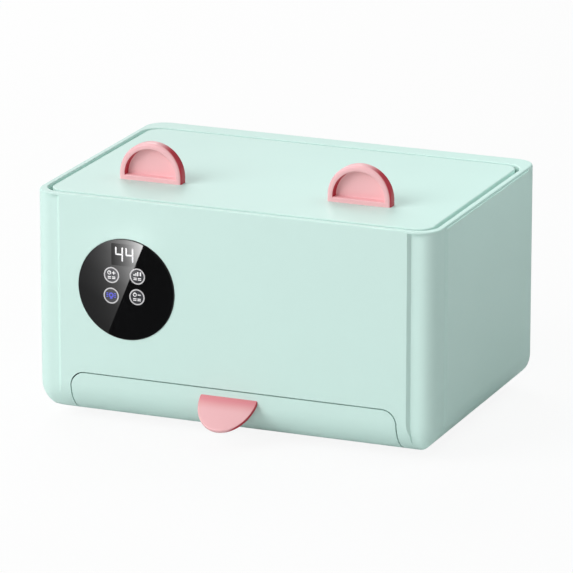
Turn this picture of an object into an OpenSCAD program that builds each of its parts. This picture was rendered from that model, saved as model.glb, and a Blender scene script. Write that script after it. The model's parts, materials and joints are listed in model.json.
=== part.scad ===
// Baby wipe warmer: a rounded mint housing with a flush hinged lid, two half-round
// ear grips, a round touch panel and a bottom-front flap that the wipes come out of.
// Millimetres. +Z is up, the front faces -Y. The origin is the middle of the footprint
// at the level that the rubber feet stand on.

/* [Body] */
// Width of the housing over its side faces
body_w = 240; // [225:1:290]
// Depth of the housing over its front and back faces
body_d = 166; // [155:1:200]
// Height of the housing, without the feet
body_h = 128.5; // [118:0.5:160]
// Radius of the rim's corners, seen from above
corner_r = 12; // [10:0.5:16]
// Radius where the walls turn under to the base
bottom_r = 20; // [16:0.5:22]
// Wall thickness of the housing
wall = 2.6; // [2:0.1:3]

/* [Raised panels] */
// How far the front and back stand proud of the corner columns
front_raise = 1.8; // [1.2:0.1:2.2]
// How far the sides stand proud of the corner columns
side_raise = 1; // [0.8:0.1:1.4]
// From a side face to the edge of the front panel
front_margin = 16.8; // [15:0.1:20]
// From the front face to the edge of a side panel
side_margin = 19; // [16:0.1:22]
// Length of the slope at the edge of a side panel
side_slope = 2.4; // [1.6:0.1:3]
// Radius of the recessed corner columns
column_r = 9; // [8:0.1:10]
// Radius where the corner columns turn under
column_foot_r = 17; // [15:0.5:18]

/* [Top frame and lid] */
// Rim width at the front of the lid opening
rim_front = 3.6; // [3:0.1:6]
// Rim width at the sides of the lid opening
rim_side = 4.3; // [4:0.1:7]
// Rim width behind the lid, over the hinge pocket
rim_rear = 12.4; // [11:0.1:18]
// Height of the rim above the housing wall
rim_h = 1.2; // [1:0.1:1.6]
// How far the rim lies inside the side faces
rim_inset = 1; // [0.6:0.1:1.4]
// Edge rounding of the rim and the lid
edge_r = 0.7; // [0.4:0.1:0.9]
// Gap between the lid and the rim
lid_gap = 2.6; // [2.4:0.1:3]
// Corner radius of the lid
lid_corner_r = 9; // [8:0.5:11]
// Thickness of the lid's top
lid_t = 2.6; // [2:0.1:3]
// Depth of the lid's skirt below its top face
lid_skirt = 8; // [7.5:0.1:9]
// Thickness of the lid's skirt
lid_skirt_t = 1.8; // [1.6:0.1:2.2]
// Hinge axis below the lid's top face
lid_axis_drop = 6; // [5.5:0.1:6.5]
// Hinge axis in front of the lid's rear edge
lid_axis_back = 9; // [8.5:0.1:11]
// Diameter of the lid's hinge pins
lid_pin_d = 4; // [3.5:0.1:4]

/* [Ear grips] */
// Width of an ear
ear_w = 37.6; // [30:0.1:44]
// Straight foot of an ear below its half round
ear_base = 3.2; // [2.5:0.1:5]
// Thickness of an ear
ear_t = 7.5; // [6.5:0.1:9]
// Edge rounding of an ear
ear_edge = 1.4; // [1:0.1:1.8]
// Border round the recess in an ear
ear_border = 3.8; // [3:0.1:5]
// Depth of the recess in an ear
ear_recess = 4.4; // [3:0.1:4.8]
// Middle of the left ear, from the middle of the lid
ear_left_x = -66.1; // [-75:0.1:-55]
// Middle of the right ear, from the middle of the lid
ear_right_x = 58.9; // [50:0.1:75]
// Front of the ears behind the front face
ear_y = 40.8; // [36:0.1:50]

/* [Touch panel] */
// Diameter of the glass disc
glass_d = 58; // [50:0.5:64]
// Thickness of the glass disc
glass_t = 2; // [1.8:0.1:2.4]
// How far the glass stands proud of the front face
glass_proud = 0.5; // [0.3:0.1:0.8]
// Middle of the glass, from the middle of the front
glass_x = -62.8; // [-66:0.1:-55]
// Middle of the glass above the bottom of the housing
glass_z = 77.3; // [70:0.1:80]
// Spacing of the touch keys across
key_pitch_x = 15.6; // [14:0.1:17]
// Spacing of the touch keys up and down
key_pitch_z = 11.9; // [11:0.1:13]
// Middle of the four keys above the middle of the glass
key_rise = 1.9; // [0:0.1:3]

/* [Front flap] */
// Width of the flap
flap_w = 194; // [180:0.5:196]
// Height of the flap's top seam above the bottom of the housing
flap_h = 25.7; // [24:0.1:28]
// Corner radius of the flap
flap_corner_r = 8; // [6:0.1:9]
// Wall thickness of the flap
flap_t = 2.4; // [2:0.1:2.6]
// Seam round the flap
flap_seam = 0.7; // [0.5:0.05:0.8]
// How far the flap wraps under, behind the front face
flap_under = 14.4; // [13:0.1:16]
// Hinge axis below the flap's top seam
flap_axis_drop = 7.5; // [7.2:0.1:8]
// Hinge axis behind the front face
flap_axis_in = 2.2; // [2.1:0.1:2.4]
// Diameter of the flap's hinge pins
flap_pin_d = 2; // [1.6:0.1:2]

/* [Tongue] */
// Diameter of the disc that the pull tongue is part of
tongue_w = 34; // [30:0.2:40]
// Length of the pull tongue from its root to its tip
tongue_len = 21; // [18:0.2:24]
// Thickness of the pull tongue
tongue_t = 2.8; // [2.4:0.1:3.2]
// Slope of the pull tongue below level, in degrees
tongue_slope = 40; // [34:1:46]
// Middle of the tongue's root below the flap's top seam
tongue_drop = 5.7; // [5.4:0.1:6.2]

/* [Tank] */
// Length of the wipes compartment inside
tank_w = 200; // [190:1:212]
// Wall thickness of the tank
tank_wall = 2; // [1.6:0.1:2.4]
// Front of the tank behind the front face
tank_front = 13; // [12.5:0.1:16]
// Underside of the tank's floor above the bottom of the housing
tank_floor = 27; // [26:0.5:32]
// Length of the slot that the wipes come down through
mouth_w = 104; // [90:1:120]
// Width of that slot
mouth_d = 14; // [12:0.5:16]
// Width of the opening in the silicone lip under the slot
lip_slot = 8.6; // [6:0.2:9]
// Corner radius inside the tank
tank_corner_r = 5; // [4:0.5:8]

/* [Feet and base] */
// Height of the feet below the housing
foot_h = 3.6; // [3.4:0.1:5]
// Diameter of the feet
foot_d = 13; // [10:0.5:14]
// Feet apart, across
foot_pitch_x = 172; // [160:1:176]
// Feet apart, front to back
foot_pitch_y = 92; // [88:1:100]
// Thickness of the base plate
base_t = 2.2; // [1.8:0.1:2.6]

/* [Fits] */
// Radial clearance of a turning fit
run_fit = 0.05; // [0.02:0.01:0.1]
// Clearance between parts that only drop in
drop_fit = 0.3; // [0.2:0.05:0.4]

/* [Hidden] */
$fn = 64;

mint = "#cde8e1";
pink = "#e5a5a8";
grey = "#6b7075";
bright = "#f2f4f3";

z0 = foot_h;
top_z = z0 + body_h;
hw = body_w / 2;
hd = body_d / 2;
cut = 1;                                  // how far cutters run past a face

wall_top = top_z - rim_h;
open_x = hw - rim_side;
open_front = -hd + rim_front;
open_rear = hd - rim_rear;
open_d = open_rear - open_front;
open_y = (open_rear + open_front) / 2;
lid_w = 2 * (open_x - lid_gap);
lid_d = open_d - 2 * lid_gap;
lid_rear = open_rear - lid_gap;
lid_axis = [lid_rear - lid_axis_back, top_z - lid_axis_drop];

tank_out_w = tank_w + 2 * tank_wall;
tank_y0 = -hd + tank_front;
deck_z = top_z - lid_skirt - 2.5;         // top of the tank's flange
flange_t = 2;
flange_rear = lid_axis[0] - 5.3;
tank_y1 = flange_rear - 4;
floor_z = z0 + tank_floor;
screw_boss_d = 7.6;
boss_x = hw - wall - screw_boss_d / 2 - 2.4;
boss_y = [-hd + 27, tank_y1 - 14];

seal_w = 3;
seal_inset = 5;
liner_t = 2;
liner_w = lid_w - 2 * lid_skirt_t - 2 * drop_fit;
liner_front = open_front + lid_gap + lid_skirt_t + drop_fit;
liner_rear = lid_axis[0] - lid_pin_d - 2.4;
liner_d = liner_rear - liner_front;
liner_y = (liner_rear + liner_front) / 2;
liner_z = top_z - lid_skirt;
liner_screws = [[-0.4, -0.36], [0.4, -0.36], [-0.4, 0.36], [0.4, 0.36]];
lid_knuckle = 12;

ear_r = ear_w / 2;
ear_y0 = -hd + ear_y;
ear_screw_pitch = ear_w - 16;

flap_top = z0 + flap_h;
flap_axis = [-hd + flap_axis_in, flap_top - flap_axis_drop];
flap_knuckle = 12;
flap_knuckle_r = flap_axis_in - 0.1;
flap_side = flap_w / 2;
pin_reach = 4.4;                          // how far a flap pin runs into the housing
cheek_gap = 1.2;
cheek_t = 2.2;

tongue_root = [-hd, flap_top - tongue_drop];
tongue_reach = (tongue_len - tongue_t / 2) * cos(tongue_slope) + tongue_t / 2;
stem_w = tongue_w - 6;
frame_y = tongue_reach / 2;

mouth_y = tank_y0 + tank_wall + 4 + mouth_d / 2;
lip_t = 2;
lip_margin = 5;
chute_t = 1.6;
chute_front = -hd + bottom_r;
chute_rear = mouth_y + mouth_d / 2 + 9;
chute_z = z0 + wall;
chute_r = 12;

base_front = chute_rear + 6;
base_rear = hd - bottom_r - 10;
base_w = foot_pitch_x - foot_d - 5;
base_ledge = 4;
base_d = base_rear - base_front;
base_y = (base_rear + base_front) / 2;
base_screw_at = [for (sx = [-1, 1], sy = [-1, 1]) [sx * (base_w / 2 - 5), base_y + sy * (base_d / 2 - 5)]];

heater_t = 1.5;
film_t = 0.8;
heater_w = tank_w - 26;
heater_front = chute_rear + 3;
heater_rear = tank_y1 - 6;
heater_d = heater_rear - heater_front;
heater_y = (heater_rear + heater_front) / 2;
cutout_l = 20;
film_w = heater_w - cutout_l - 16;
film_x = -(heater_w - film_w) / 2 + 3;
pad_t = 6;

board_w = 90;
board_d = 50;
board_t = 1.6;
board_z = z0 + base_t + 5;
board_x = -10;
board_y = base_y + 2;
jack_x = -76;
jack_z = z0 + bottom_r + 7;
jack_d = 9.6;

glass_c = [glass_x, z0 + glass_z];
glass_hole_d = glass_d - 8;
display_at = [glass_c[0] - 1, glass_c[1] + 19.8];
display_size = [13.6, 11.2];
glass_front = -hd - glass_proud;
glass_back = glass_front + glass_t;
holder_t = 2;
holder_d = glass_hole_d - 1;
pcb_d = glass_hole_d + 2;
pcb_y = glass_back + 5.6;
holder_pitch = glass_d / 2 + 2;
boss_angles = [30, 150, 270];
panel_edge_r = 0.5;                       // rounding along the top of the side panels

// ---------- shared shapes ----------

// Everything sits in front of the origin's middle by half of what the tongue reaches.
module in_place() translate([0, frame_y, 0]) children();

module rounded_rect(w, d, r) {
    square([w - 2 * r, d], center = true);
    square([w, d - 2 * r], center = true);
    for (sx = [-1, 1], sy = [-1, 1])
        translate([sx * (w / 2 - r), sy * (d / 2 - r)]) circle(r);
}

// Half section of an upright wall whose foot turns under by radius b and whose
// top edge is rounded by radius t.
module wall_section(half, h, t, b) {
    difference() {
        square([half, h]);
        if (t > 0) translate([half - t, h - t]) difference() {
            square(t + cut);
            circle(t);
        }
        if (b > 0) translate([half - b, b]) rotate(-90) difference() {
            square(b + cut);
            circle(b);
        }
    }
}

module full_section(half, h, t, b) {
    wall_section(half, h, t, b);
    mirror([1, 0]) wall_section(half, h, t, b);
}

// Upright prism with rounded plan corners and a rounded top edge.
module soft_prism(w, d, r, h, t) {
    rotate([90, 0, 0]) linear_extrude(d - 2 * r, center = true) full_section(w / 2, h, t, 0);
    rotate([90, 0, 90]) linear_extrude(w - 2 * r, center = true) full_section(d / 2, h, t, 0);
    for (sx = [-1, 1], sy = [-1, 1])
        translate([sx * (w / 2 - r), sy * (d / 2 - r), 0])
            rotate_extrude() wall_section(r, h, t, 0);
}

// Cutter for an opening of w by d whose top edge, at z = 0, is rounded by radius e.
module rounded_opening(w, d, r, h, e) {
    translate([0, 0, -h]) linear_extrude(h + cut) rounded_rect(w, d, r);
    for (s = [-1, 1]) {
        translate([0, s * d / 2, -e]) rotate([90, 0, 90]) linear_extrude(w - 2 * r, center = true)
            facing(s) edge_waste(e);
        translate([s * w / 2, 0, -e]) rotate([90, 0, 0]) linear_extrude(d - 2 * r, center = true)
            facing(s) edge_waste(e);
    }
    for (sx = [-1, 1], sy = [-1, 1])
        translate([sx * (w / 2 - r), sy * (d / 2 - r), -e])
            rotate_extrude() translate([r, 0]) edge_waste(e);
}

// What a rounding of radius e takes off a corner that stands at x = 0.
module edge_waste(e) {
    difference() {
        translate([-cut, 0]) square([cut + e, e + cut]);
        translate([e, 0]) circle(e);
        translate([e, -cut]) square([cut, e + 3 * cut]);
    }
}

// Mirrors a 2D shape that is drawn for the +X side to the side s.
module facing(s) {
    if (s > 0) children();
    else mirror([1, 0]) children();
}

// Plan of the corner columns, set in by inset all round.
module column_plan(inset) {
    rounded_rect(body_w - 2 * (side_raise + inset), body_d - 2 * (front_raise + inset), column_r - inset);
}

// Plan of the raised faces that run across the columns.
module panel_plan(inset) {
    raised_band(hw - front_margin - inset * tan(22.5), hd - inset, front_raise, front_raise);
    rotate(90) raised_band(hd - side_margin - inset * tan(atan(side_raise / side_slope) / 2),
        hw - inset, side_raise, side_slope);
}

// A band over the plan whose ends, at y = +-reach, stand proud by c and slope over run.
module raised_band(half, reach, c, run) {
    polygon([
        [half + run, c - reach], [half, -reach], [-half, -reach], [-half - run, c - reach],
        [-half - run, reach - c], [-half, reach], [half, reach], [half + run, reach - c]
    ]);
}

module body_plan(inset) {
    column_plan(inset);
    panel_plan(inset);
}

// Block of half sizes x and y, all four of whose walls turn under by radius b.
module footed_block(x, y, h, b) {
    intersection() {
        rotate([90, 0, 0]) linear_extrude(2 * y, center = true) full_section(x, h, 0, b);
        rotate([90, 0, 90]) linear_extrude(2 * x, center = true) full_section(y, h, 0, b);
    }
}

// What the lower end of each corner column loses, set in by inset all round: the
// column's round edge runs on down the turned-under foot and narrows to a point.
module corner_waste(inset) {
    r = column_r - inset;
    b = column_foot_r - inset;
    for (sx = [0, 1], sy = [0, 1]) mirror([sx, 0, 0]) mirror([0, sy, 0])
        translate([hw - side_raise - column_r, hd - front_raise - column_r, z0 + inset]) difference() {
            translate([0, 0, -cut]) cube([r + cut, r + cut, b + cut]);
            rotate_extrude() wall_section(r, b + cut, 0, b);
        }
}

// The housing's outer form, set in by inset all round, up to the height top.
module body_solid(inset, top) {
    h = body_h - inset + cut;
    difference() {
        intersection() {
            translate([0, 0, z0 + inset]) footed_block(hw - inset, hd - inset, h, bottom_r - inset);
            union() {
                translate([0, 0, z0 - cut]) linear_extrude(top - z0 + cut) panel_plan(inset);
                intersection() {
                    translate([0, 0, z0 - cut]) linear_extrude(top - z0 + cut) column_plan(inset);
                    translate([0, 0, z0 + inset]) footed_block(hw - side_raise - inset,
                        hd - front_raise - inset, h, column_foot_r - inset);
                }
            }
        }
        corner_waste(inset);
    }
}

// Cylinder along X with its middle at (y, z).
module x_cylinder(r, x0, x1, y, z) {
    translate([x0, y, z]) rotate([0, 90, 0]) cylinder(r = r, h = x1 - x0);
}

// Cylinder along Y with its middle at (x, z).
module y_cylinder(r, y0, y1, x, z) {
    translate([x, y1, z]) rotate([90, 0, 0]) cylinder(r = r, h = y1 - y0);
}

module block(p, q) translate(p) cube([q[0] - p[0], q[1] - p[1], q[2] - p[2]]);

// Pan-head screw that points down from z = 0, head above.
module screw(d, l) {
    translate([0, 0, -l]) cylinder(d = d, h = l);
    difference() {
        cylinder(d = 1.9 * d, h = 0.65 * d);
        translate([0, 0, 0.3 * d]) cross_slot(d);
    }
}

module cross_slot(d) {
    translate([0, 0, d / 2]) cube([1.1 * d, 0.24 * d, d], center = true);
    translate([0, 0, d / 2]) cube([0.24 * d, 1.1 * d, d], center = true);
}

// ---------- housing ----------

// Front view of the flap, grown by g, as a plate from y = y0 to y = y1.
module flap_outline(g, y0, y1) {
    r = flap_corner_r + g;
    half = flap_side + g;
    top = flap_top + g;
    translate([0, y1, 0]) rotate([90, 0, 0]) linear_extrude(y1 - y0) {
        translate([-half, -cut]) square([2 * half, top - r + cut]);
        translate([r - half, -cut]) square([2 * (half - r), top + cut]);
        for (s = [-1, 1]) translate([s * (half - r), top - r]) circle(r);
    }
}

module housing_bosses() {
    for (s = [-1, 1], y = boss_y) {
        translate([s * boss_x, y, z0 + wall + 10])
            cylinder(d = screw_boss_d, h = deck_z - flange_t - z0 - wall - 10);
        block([s > 0 ? boss_x : -hw + wall - 0.2, y - 1.2, z0 + wall + 14],
            [s > 0 ? hw - wall + 0.2 : -boss_x, y + 1.2, deck_z - flange_t]);
    }
}

module flap_cheeks() {
    x0 = flap_side + cheek_gap;
    intersection() {
        union() for (s = [-1, 1]) {
            block([s > 0 ? x0 : -x0 - cheek_t, -hd + 1, z0 + 1],
                [s > 0 ? x0 + cheek_t : -x0, -hd + flap_under + 2, floor_z - 0.4]);
            block([s > 0 ? x0 : -x0 - pin_reach, -hd + 1, flap_axis[1] - 3],
                [s > 0 ? x0 + pin_reach : -x0, flap_axis[0] + 3.4, flap_axis[1] + 3]);
        }
        body_solid(0.6, wall_top);
    }
}

module base_ring() {
    translate([0, base_y, z0 + base_t]) linear_extrude(wall)
        rounded_rect(base_w + 5, base_d + 5, 8);
}

module housing() color(mint) in_place() {
    difference() {
        union() {
            difference() {
                body_solid(0, wall_top);
                body_solid(wall, top_z + cut);
            }
            housing_bosses();
            flap_cheeks();
            base_ring();
            y_cylinder(glass_d / 2 + 3, -hd + 1, -hd + wall + 1.4, glass_c[0], glass_c[1]);
            for (a = boss_angles) at_panel_boss(a) cylinder(r = 3, h = pcb_y + hd - wall + 0.4);
            for (p = base_screw_at) translate([p[0], p[1], z0 + base_t]) cylinder(d = 7, h = 6.5);
        }
        for (a = boss_angles) at_panel_boss(a) translate([0, 0, -cut]) cylinder(r = 1, h = 5.2 + cut);
        for (p = base_screw_at) translate([p[0], p[1], z0]) cylinder(d = 2.4, h = base_t + 5);
        flap_outline(flap_seam, -hd - cut, -hd + flap_under + flap_seam);
        intersection() {
            flap_outline(flap_seam + 1, -hd + 1.4, -hd + flap_under - 3);
            block([-hw, -hd, z0 + 0.8 * bottom_r], [hw, 0, top_z]);
        }
        for (s = [-1, 1]) {
            x0 = flap_side + cheek_gap + pin_reach;
            x_cylinder(flap_pin_d / 2 + 0.01, s > 0 ? 0 : -x0, s > 0 ? x0 : 0,
                flap_axis[0], flap_axis[1]);
        }
        y_cylinder(glass_d / 2 + 0.15, -hd - cut, glass_back, glass_c[0], glass_c[1]);
        y_cylinder(glass_hole_d / 2, -hd - cut, -hd + 8, glass_c[0], glass_c[1]);
        display_block(drop_fit, -hd - cut, -hd + 8);
        for (s = [-1, 1])
            translate([s * hw, 0, wall_top - panel_edge_r]) rotate([90, 0, 0])
                linear_extrude(body_d + 2 * cut, center = true) facing(-s) edge_waste(panel_edge_r);
        translate([0, base_y, z0 - cut]) linear_extrude(base_t + cut)
            rounded_rect(base_w + 2 * drop_fit, base_d + 2 * drop_fit, 6 + drop_fit);
        translate([0, base_y, z0 - cut]) linear_extrude(12)
            rounded_rect(base_w - 2 * base_ledge, base_d - 2 * base_ledge, 4);
        for (sx = [-1, 1], sy = [-1, 1])
            translate([sx * foot_pitch_x / 2, sy * foot_pitch_y / 2, z0 - cut])
                cylinder(d = foot_d + 0.3, h = 1 + cut);
        for (s = [-1, 1], y = boss_y)
            translate([s * boss_x, y, deck_z - flange_t - 12]) cylinder(d = 2.4, h = 12 + cut);
        y_cylinder(jack_d / 2 + 0.1, hd - wall - 3, hd + cut, jack_x, jack_z);
    }
}

// Puts a part on the back end of a panel boss, drawn towards the front.
module at_panel_boss(a) {
    translate([glass_c[0] + holder_pitch * cos(a), pcb_y, glass_c[1] + holder_pitch * sin(a)])
        rotate([90, 0, 0]) children();
}

module top_frame() color(mint) in_place() {
    lip_w = open_x + 1.4;
    pin_y = lid_axis[0];
    pin_z = lid_axis[1];
    difference() {
        union() {
            translate([0, 0, wall_top])
                soft_prism(body_w - 2 * rim_inset, body_d, corner_r, rim_h, edge_r);
            translate([0, 0, deck_z + 1.2]) linear_extrude(wall_top - deck_z - 1.2 + rim_h / 2)
                intersection() {
                    body_plan(wall + drop_fit);
                    translate([0, open_y]) rounded_rect(2 * lip_w, open_d + 3, lid_corner_r + lid_gap);
                }
            for (s = [-1, 1])
                block([s > 0 ? open_x - 1.8 : -open_x - 1, pin_y - 5, pin_z - 4.5],
                    [s > 0 ? open_x + 1 : -open_x + 1.8, pin_y + 5, wall_top]);
        }
        translate([0, open_y, top_z]) difference() {
            rounded_opening(2 * open_x, open_d, lid_corner_r + lid_gap, 24, edge_r);
            for (s = [-1, 1])
                block([s > 0 ? open_x - 1.8 : -open_x - 1, pin_y - open_y - 5, -20],
                    [s > 0 ? open_x + 1 : -open_x + 1.8, pin_y - open_y + 5, -rim_h - 1]);
        }
        for (s = [-1, 1])
            x_cylinder(lid_pin_d / 2 + 0.01, s > 0 ? 0 : -open_x - 1.2, s > 0 ? open_x + 1.2 : 0,
                pin_y, pin_z);
    }
}

module base_plate() color(mint) in_place() {
    difference() {
        union() {
            translate([0, base_y, z0]) linear_extrude(base_t) rounded_rect(base_w, base_d, 6);
            for (sx = [-1, 1], sy = [-1, 1])
                translate([board_x + sx * (board_w / 2 - 4), board_y + sy * (board_d / 2 - 4), z0 + base_t / 2])
                    cylinder(d = 5, h = board_z - z0 - base_t / 2);
        }
        for (p = base_screw_at) translate([p[0], p[1], z0 - cut]) {
            cylinder(d = 3.4, h = base_t + 2 * cut);
            cylinder(d = 6.2, h = 1.1 + cut);
        }
        for (sx = [-1, 1], sy = [-1, 1])
            translate([board_x + sx * (board_w / 2 - 4), board_y + sy * (board_d / 2 - 4), z0 + base_t])
                cylinder(d = 1.8, h = board_z);
    }
}

module base_screws() color("silver") in_place() {
    for (p = base_screw_at) translate([p[0], p[1], z0 + 1.1]) mirror([0, 0, 1]) {
        translate([0, 0, -5.5]) cylinder(d = 2.4, h = 5.5);
        difference() {
            cylinder(d = 5.4, h = 0.9);
            translate([0, 0, 0.4]) cross_slot(2.6);
        }
    }
}

module rubber_feet() color(grey) in_place() {
    for (sx = [-1, 1], sy = [-1, 1])
        translate([sx * foot_pitch_x / 2, sy * foot_pitch_y / 2, 0])
            rotate_extrude() foot_section();
}

module foot_section() {
    difference() {
        square([foot_d / 2, foot_h + 1]);
        translate([foot_d / 2 - 1, 1]) rotate(-90) difference() {
            square(1 + cut);
            circle(1);
        }
    }
}

// ---------- tank and dispensing path ----------

module tank_box(x, y0, y1, z, r) {
    translate([0, (y0 + y1) / 2, z]) linear_extrude(deck_z - z + cut) rounded_rect(2 * x, y1 - y0, r);
}

module inner_tank() color(bright) in_place() {
    x = tank_out_w / 2;
    flange_x = hw - wall - 3.4;
    flange_y0 = -hd + wall + 3.2;
    difference() {
        union() {
            intersection() {
                tank_box(x, tank_y0, tank_y1, floor_z, tank_corner_r + tank_wall);
                block([-x, tank_y0, floor_z], [x, tank_y1, deck_z]);
            }
            translate([0, (flange_y0 + flange_rear) / 2, deck_z - flange_t]) linear_extrude(flange_t)
                rounded_rect(2 * flange_x, flange_rear - flange_y0, 8);
        }
        tank_box(x - tank_wall, tank_y0 + tank_wall, tank_y1 - tank_wall, floor_z + tank_wall,
            tank_corner_r);
        translate([0, mouth_y, floor_z - cut]) linear_extrude(tank_wall + 2 * cut)
            rounded_rect(mouth_w, mouth_d, mouth_d / 2 - 0.1);
        for (s = [-1, 1], y = boss_y)
            translate([s * boss_x, y, deck_z - flange_t - cut]) cylinder(d = 3.3, h = flange_t + 2 * cut);
    }
}

module tank_screws() color("silver") in_place() {
    for (s = [-1, 1], y = boss_y) translate([s * boss_x, y, deck_z]) screw(2.4, 10);
}

module dispensing_lip() color("white") in_place() {
    translate([0, mouth_y, floor_z - lip_t]) linear_extrude(lip_t) difference() {
        rounded_rect(mouth_w + 2 * lip_margin, mouth_d + lip_margin, 6);
        rounded_rect(mouth_w - 12, lip_slot, lip_slot / 2 - 0.1);
    }
}

// Side view of the chute: floor, curved heel and upright back, z = 0 at its underside.
module chute_profile() {
    h = floor_z - chute_z;
    heel = chute_rear - chute_r;
    translate([chute_rear - chute_t, chute_r]) square([chute_t, h - chute_r]);
    translate([chute_front, 0]) square([heel - chute_front, chute_t]);
    intersection() {
        translate([heel, 0]) square(chute_r);
        translate([heel, chute_r]) difference() {
            circle(chute_r);
            circle(chute_r - chute_t);
        }
    }
}

module wipe_chute() color(bright) in_place() {
    x = flap_side - 1.4;
    translate([0, 0, chute_z]) rotate([90, 0, 90]) linear_extrude(2 * x, center = true) chute_profile();
    for (s = [-1, 1])
        block([s > 0 ? x - chute_t : -x, chute_front, chute_z + chute_t / 2],
            [s > 0 ? x : -x + chute_t, chute_rear - chute_t / 2, floor_z]);
}

// ---------- heating ----------

module heater_plate() color("lightgray") in_place() {
    translate([0, heater_y, floor_z - heater_t]) linear_extrude(heater_t)
        rounded_rect(heater_w, heater_d, 5);
}

module heating_film() color("peru") in_place() {
    translate([film_x, heater_y, floor_z - heater_t - film_t]) linear_extrude(film_t)
        rounded_rect(film_w, heater_d - 8, 4);
}

module thermal_cutout() color("ivory") in_place() {
    x = heater_w / 2 - cutout_l / 2 - 3;
    z = floor_z - heater_t;
    block([x - cutout_l / 2, heater_y - 4, z - 3.4], [x + cutout_l / 2, heater_y + 4, z]);
    for (s = [-1, 1])
        x_cylinder(0.6, s > 0 ? x + cutout_l / 2 - 0.5 : x - cutout_l / 2 - 3,
            s > 0 ? x + cutout_l / 2 + 3 : x - cutout_l / 2 + 0.5, heater_y, z - 1.7);
}

module temperature_sensor() color("black") in_place() {
    translate([heater_w / 2 - 14, heater_y + 22, floor_z - heater_t - 1.6]) {
        intersection() {
            sphere(r = 2);
            cube([5, 5, 3.2], center = true);
        }
        for (s = [-1, 1]) x_cylinder(0.35, -9, -1, s * 0.8, 0);
    }
}

module floor_insulation() color("lightyellow") in_place() {
    translate([film_x, heater_y, floor_z - heater_t - film_t - pad_t]) linear_extrude(pad_t)
        rounded_rect(film_w - 4, heater_d - 12, 4);
}

module wall_insulation() color("lightyellow") in_place() {
    x = tank_out_w / 2 + 0.1;
    t = boss_x - screw_boss_d / 2 - x - 0.2;
    z1 = deck_z - flange_t - 0.2;
    for (s = [-1, 1])
        block([s > 0 ? x : -x - t, tank_y0 + 12, floor_z], [s > 0 ? x + t : -x, tank_y1 - 12, z1]);
    block([-x + 12, tank_y1 + 0.1, floor_z], [x - 12, tank_y1 + 6, z1]);
}

module power_board() color("darkgreen") in_place() {
    difference() {
        translate([board_x, board_y, board_z]) linear_extrude(board_t) square([board_w, board_d], center = true);
        for (sx = [-1, 1], sy = [-1, 1])
            translate([board_x + sx * (board_w / 2 - 4), board_y + sy * (board_d / 2 - 4), board_z - cut])
                cylinder(d = 2.2, h = board_t + 2 * cut);
    }
    translate([board_x, board_y, board_z + board_t]) {
        translate([-26, 8, 0]) cylinder(d = 8, h = 5);
        block([-8, 4, 0], [4, 16, 4]);
        block([14, -18, 0], [32, -10, 5]);
        block([-34, -18, 0], [-16, -12, 5]);
        block([18, 4, 0], [30, 12, 3]);
    }
}

module power_jack() color("black") in_place() {
    difference() {
        union() {
            y_cylinder(jack_d / 2, hd - 14, hd, jack_x, jack_z);
            block([jack_x - 6, hd - 14, jack_z - 6], [jack_x + 6, hd - wall, jack_z + 6]);
        }
        y_cylinder(2.9, hd - 10, hd + cut, jack_x, jack_z);
    }
    y_cylinder(1, hd - 11, hd - 1, jack_x, jack_z);
}

// ---------- touch panel ----------

module touch_glass() color("#151719") in_place() {
    translate([glass_c[0], glass_back, glass_c[1]]) rotate([90, 0, 0])
        rotate_extrude() wall_section(glass_d / 2, glass_t, 0.4, 0);
}

// The display and the room it needs, grown by g, from y = y0 to y = y1.
module display_block(g, y0, y1) {
    x = display_size[0] / 2 + g;
    z = display_size[1] / 2 + g;
    translate([display_at[0], 0, display_at[1]]) block([-x, y0, -z], [x, y1, z]);
}

// Carrier ring between the glass and the board, open at the top for the display.
module panel_holder() color(bright) in_place() {
    y0 = glass_back + 0.1;
    y1 = pcb_y;
    difference() {
        y_cylinder(holder_d / 2, y0, y1, glass_c[0], glass_c[1]);
        y_cylinder(holder_d / 2 - 2, y0 - cut, y1 - holder_t, glass_c[0], glass_c[1]);
        y_cylinder(holder_d / 2 - 4, y0 - cut, y1 + cut, glass_c[0], glass_c[1]);
        display_block(drop_fit, y0 - cut, y1 + cut);
    }
}

module control_board() color("darkgreen") in_place() {
    difference() {
        union() {
            y_cylinder(pcb_d / 2, pcb_y, pcb_y + board_t, glass_c[0], glass_c[1]);
            for (a = boss_angles) at_panel_boss(a) rotate(a)
                translate([-6, -3, -board_t]) cube([9, 6, board_t]);
        }
        for (a = boss_angles) at_panel_boss(a) translate([0, 0, -board_t - cut])
            cylinder(d = 2.3, h = board_t + 2 * cut);
    }
}

module key_places() {
    for (sx = [-1, 1], sz = [-1, 1])
        translate([glass_c[0] - 1 + sx * key_pitch_x / 2, 0, glass_c[1] + key_rise + sz * key_pitch_z / 2])
            children();
}

module display_module() color("dimgray") in_place() display_block(0, glass_back + drop_fit, pcb_y);

module touch_springs() color("gold") in_place() {
    key_places() translate([0, pcb_y, 0]) rotate([90, 0, 0]) {
        h = pcb_y - glass_back - 0.1;
        difference() {
            cylinder(d = 7, h = h);
            translate([0, 0, -cut]) cylinder(d = 5.8, h = h + 2 * cut);
        }
        cylinder(d = 6, h = 0.6);
    }
}

module board_screws() color("silver") in_place() {
    for (a = boss_angles) at_panel_boss(a) translate([0, 0, -board_t]) mirror([0, 0, 1]) screw(2, 6);
}

// ---------- lid ----------

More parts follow.
